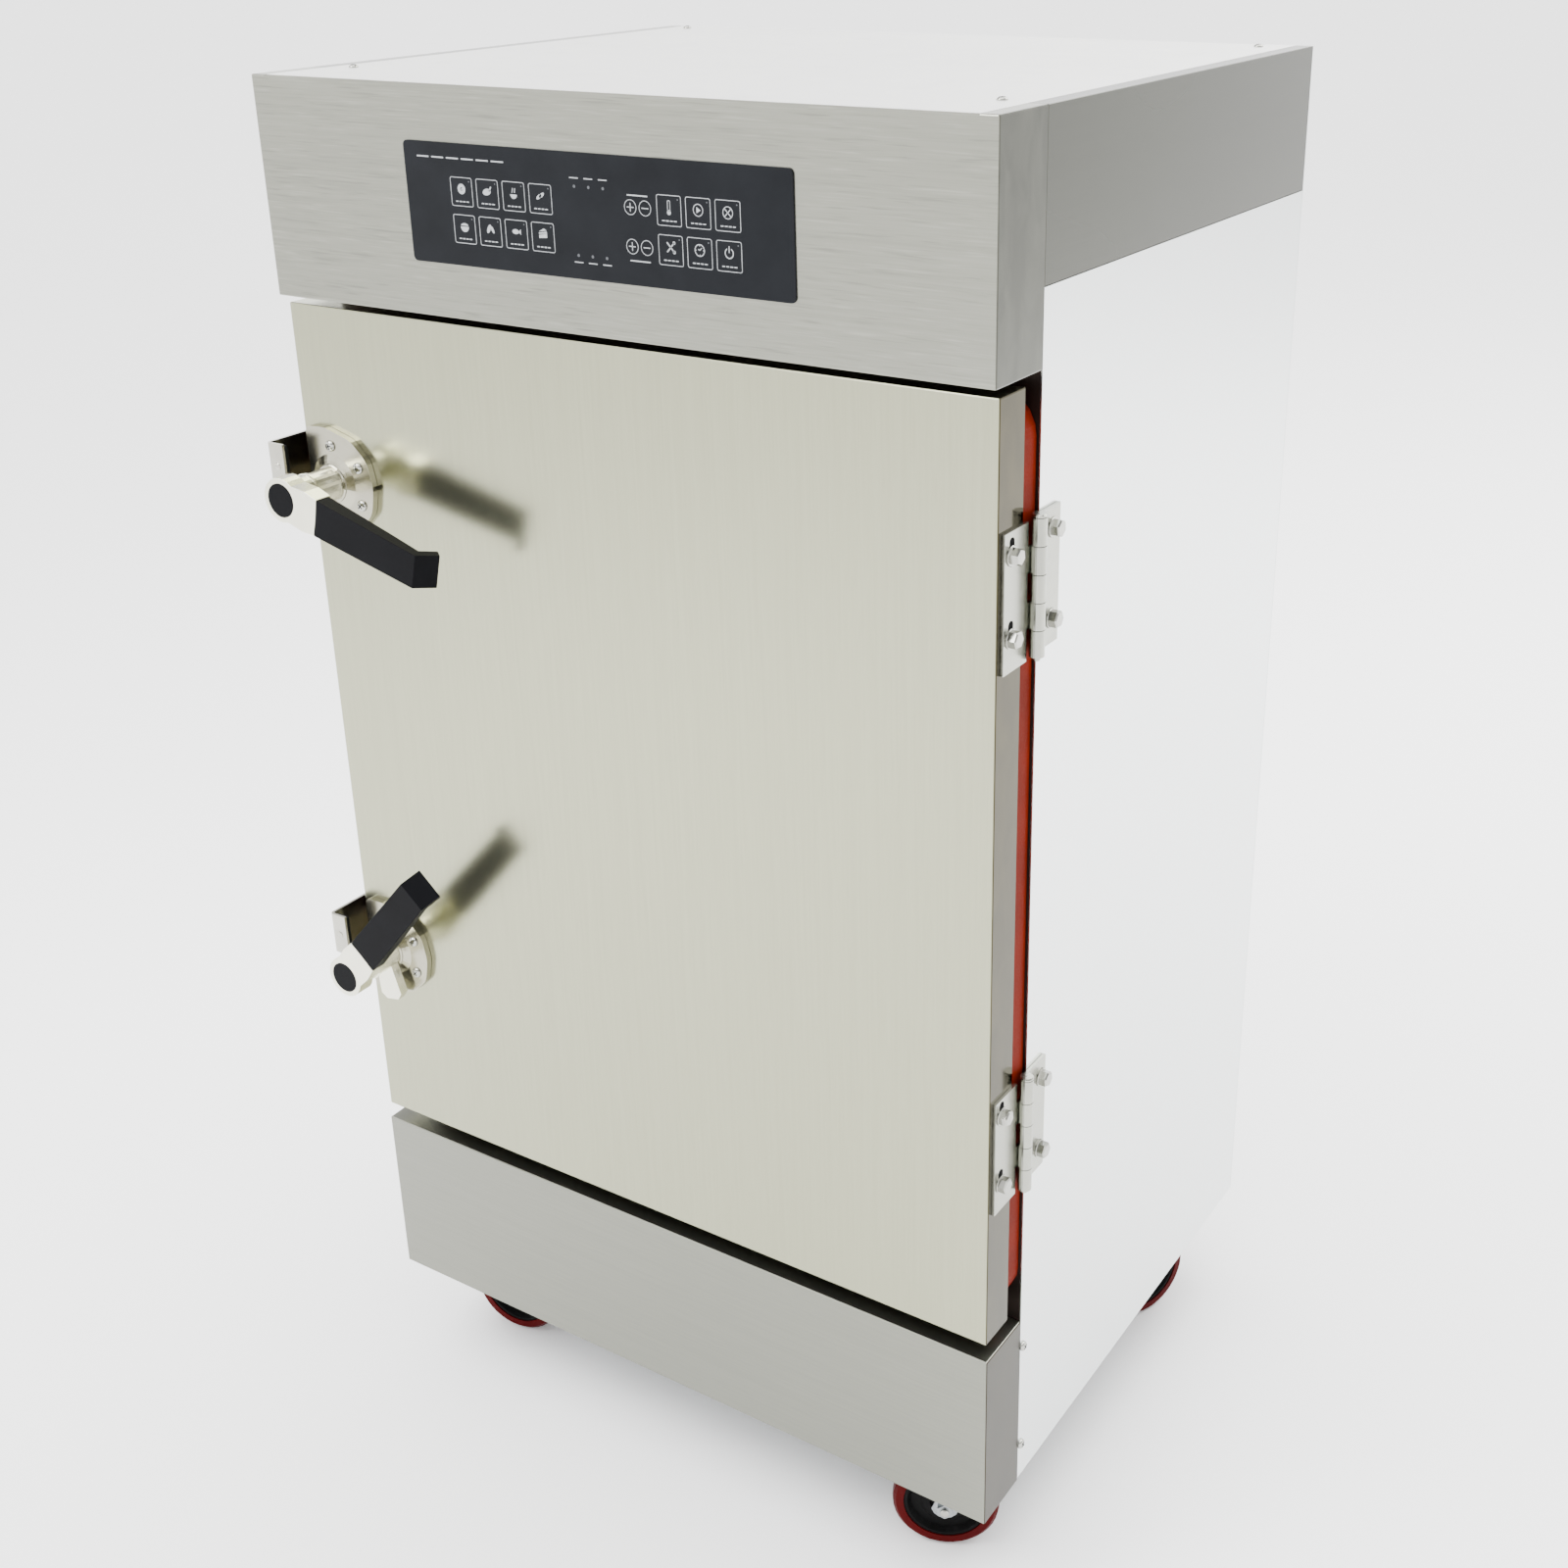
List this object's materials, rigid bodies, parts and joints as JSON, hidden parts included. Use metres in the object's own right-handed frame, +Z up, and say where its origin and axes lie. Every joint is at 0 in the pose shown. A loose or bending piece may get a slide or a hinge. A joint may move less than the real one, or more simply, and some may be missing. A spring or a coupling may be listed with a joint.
{
  "type": "commercial steam cabinet",
  "caption": "Stainless steam-cooking cabinet with an insulated chamber, one hinged door with compression latches, a touch panel in the header and swivel casters.",
  "frame": {"origin": "on the floor, under the middle of the bounding box", "axes": "+Z up, the door faces -Y, its hinges are on +X and its latches on -X"},
  "size_m": [0.7318, 0.6916, 1.318],
  "materials": {
    "fascia": "brushed stainless",
    "kick_panel": "brushed stainless",
    "left_side_panel": "bright stainless sheet",
    "right_side_panel": "bright stainless sheet",
    "left_header_panel": "brushed stainless",
    "right_header_panel": "brushed stainless",
    "top_cover": "brushed stainless",
    "back_panel": "bright stainless sheet",
    "base_frame": "zinc plated pressing",
    "front_frame": "brushed stainless",
    "chamber_liner": "bright stainless sheet",
    "insulation_wrap": "mineral wool board",
    "water_pan": "bright stainless sheet",
    "steam_plate": "bright stainless sheet",
    "heating_element": "bright stainless sheet",
    "left_tray_rack": "bright stainless sheet",
    "right_tray_rack": "bright stainless sheet",
    "control_overlay": "printed membrane, dark blue grey",
    "control_board": "green circuit board",
    "drain_valve": "cast brass",
    "water_inlet": "cast brass",
    "steam_vent": "bright stainless sheet",
    "power_gland": "black moulded plastic",
    "upper_hinge_body_leaf": "satin nickel plated casting",
    "lower_hinge_body_leaf": "satin nickel plated casting",
    "upper_hinge_pin": "satin nickel plated casting",
    "lower_hinge_pin": "satin nickel plated casting",
    "upper_keeper": "satin nickel plated casting",
    "lower_keeper": "satin nickel plated casting",
    "front_left_caster_plate": "zinc plated pressing",
    "front_right_caster_plate": "zinc plated pressing",
    "rear_left_caster_plate": "zinc plated pressing",
    "rear_right_caster_plate": "zinc plated pressing",
    "door_shell": "brushed stainless",
    "door_insulation": "mineral wool board",
    "door_inner_panel": "bright stainless sheet",
    "door_gasket": "orange-red silicone extrusion",
    "upper_hinge_door_leaf": "satin nickel plated casting",
    "lower_hinge_door_leaf": "satin nickel plated casting",
    "upper_latch_base": "satin nickel plated casting",
    "lower_latch_base": "satin nickel plated casting",
    "upper_latch_lever": "satin nickel plated casting",
    "upper_latch_grip": "black moulded nylon",
    "upper_latch_cap": "black moulded nylon",
    "lower_latch_lever": "satin nickel plated casting",
    "lower_latch_grip": "black moulded nylon",
    "lower_latch_cap": "black moulded nylon",
    "drain_handle": "red dipped vinyl",
    "front_left_fork": "zinc plated pressing",
    "front_left_wheel_core": "black moulded plastic",
    "front_left_wheel_tread": "dark red polyurethane",
    "front_right_fork": "zinc plated pressing",
    "front_right_wheel_core": "black moulded plastic",
    "front_right_wheel_tread": "dark red polyurethane",
    "rear_left_fork": "zinc plated pressing",
    "rear_left_wheel_core": "black moulded plastic",
    "rear_left_wheel_tread": "dark red polyurethane",
    "rear_right_fork": "zinc plated pressing",
    "rear_right_wheel_core": "black moulded plastic",
    "rear_right_wheel_tread": "dark red polyurethane"
  },
  "bodies": {
    "cabinet": {"fascia": "fascia", "kick_panel": "kick_panel", "left_side_panel": "left_side_panel", "right_side_panel": "right_side_panel", "left_header_panel": "left_header_panel", "right_header_panel": "right_header_panel", "top_cover": "top_cover", "back_panel": "back_panel", "base_frame": "base_frame", "front_frame": "front_frame", "chamber_liner": "chamber_liner", "insulation_wrap": "insulation_wrap", "water_pan": "water_pan", "steam_plate": "steam_plate", "heating_element": "heating_element", "left_tray_rack": "left_tray_rack", "right_tray_rack": "right_tray_rack", "control_overlay": "control_overlay", "control_board": "control_board", "drain_valve": "drain_valve", "water_inlet": "water_inlet", "steam_vent": "steam_vent", "power_gland": "power_gland", "upper_hinge_body_leaf": "upper_hinge_body_leaf", "lower_hinge_body_leaf": "lower_hinge_body_leaf", "upper_hinge_pin": "upper_hinge_pin", "lower_hinge_pin": "lower_hinge_pin", "upper_keeper": "upper_keeper", "lower_keeper": "lower_keeper", "front_left_caster_plate": "front_left_caster_plate", "front_right_caster_plate": "front_right_caster_plate", "rear_left_caster_plate": "rear_left_caster_plate", "rear_right_caster_plate": "rear_right_caster_plate"},
    "door": {"door_shell": "door_shell", "door_insulation": "door_insulation", "door_inner_panel": "door_inner_panel", "door_gasket": "door_gasket", "upper_hinge_door_leaf": "upper_hinge_door_leaf", "lower_hinge_door_leaf": "lower_hinge_door_leaf", "upper_latch_base": "upper_latch_base", "lower_latch_base": "lower_latch_base"},
    "upper_latch": {"upper_latch_lever": "upper_latch_lever", "upper_latch_grip": "upper_latch_grip", "upper_latch_cap": "upper_latch_cap"},
    "lower_latch": {"lower_latch_lever": "lower_latch_lever", "lower_latch_grip": "lower_latch_grip", "lower_latch_cap": "lower_latch_cap"},
    "drain_lever": {"drain_handle": "drain_handle"},
    "front_left_swivel": {"front_left_fork": "front_left_fork"},
    "front_left_wheel": {"front_left_wheel_core": "front_left_wheel_core", "front_left_wheel_tread": "front_left_wheel_tread"},
    "front_right_swivel": {"front_right_fork": "front_right_fork"},
    "front_right_wheel": {"front_right_wheel_core": "front_right_wheel_core", "front_right_wheel_tread": "front_right_wheel_tread"},
    "rear_left_swivel": {"rear_left_fork": "rear_left_fork"},
    "rear_left_wheel": {"rear_left_wheel_core": "rear_left_wheel_core", "rear_left_wheel_tread": "rear_left_wheel_tread"},
    "rear_right_swivel": {"rear_right_fork": "rear_right_fork"},
    "rear_right_wheel": {"rear_right_wheel_core": "rear_right_wheel_core", "rear_right_wheel_tread": "rear_right_wheel_tread"}
  },
  "joints": [
    {"name": "door_hinge", "type": "hinge", "parent": "cabinet", "child": "door", "pos_m": [0.3563, -0.2253, 0.7367], "axis": [0, 0, 1], "range_deg": [0, 165]},
    {"name": "upper_latch_turn", "type": "hinge", "parent": "door", "child": "upper_latch", "pos_m": [-0.312, -0.3128, 0.974], "axis": [0, -1, 0], "range_deg": [-58, 74]},
    {"name": "lower_latch_turn", "type": "hinge", "parent": "door", "child": "lower_latch", "pos_m": [-0.312, -0.3128, 0.5012], "axis": [0, -1, 0], "range_deg": [-120, 12]},
    {"name": "drain_handle_turn", "type": "hinge", "parent": "cabinet", "child": "drain_lever", "pos_m": [-0.1, 0.3148, 0.21], "axis": [0, 0, 1], "range_deg": [0, 90]},
    {"name": "front_left_swivel_turn", "type": "hinge", "parent": "cabinet", "child": "front_left_swivel", "pos_m": [-0.305, -0.1942, 0.118], "axis": [0, 0, 1], "continuous": true},
    {"name": "front_left_wheel_roll", "type": "hinge", "parent": "front_left_swivel", "child": "front_left_wheel", "pos_m": [-0.27034, -0.18933, 0.0508], "axis": [-0.1392, 0.9903, 0], "continuous": true},
    {"name": "front_right_swivel_turn", "type": "hinge", "parent": "cabinet", "child": "front_right_swivel", "pos_m": [0.305, -0.1942, 0.118], "axis": [0, 0, 1], "continuous": true},
    {"name": "front_right_wheel_roll", "type": "hinge", "parent": "front_right_swivel", "child": "front_right_wheel", "pos_m": [0.27354, -0.20954, 0.0508], "axis": [0.4384, -0.8988, 0], "continuous": true},
    {"name": "rear_left_swivel_turn", "type": "hinge", "parent": "cabinet", "child": "rear_left_swivel", "pos_m": [-0.305, 0.2157, 0.118], "axis": [0, 0, 1], "continuous": true},
    {"name": "rear_left_wheel_roll", "type": "hinge", "parent": "rear_left_swivel", "child": "rear_left_wheel", "pos_m": [-0.31697, 0.24859, 0.0508], "axis": [-0.9397, -0.342, 0], "continuous": true},
    {"name": "rear_right_swivel_turn", "type": "hinge", "parent": "cabinet", "child": "rear_right_swivel", "pos_m": [0.305, 0.2157, 0.118], "axis": [0, 0, 1], "continuous": true},
    {"name": "rear_right_wheel_roll", "type": "hinge", "parent": "rear_right_swivel", "child": "rear_right_wheel", "pos_m": [0.29189, 0.18325, 0.0508], "axis": [0.9272, -0.3746, 0], "continuous": true}
  ]
}
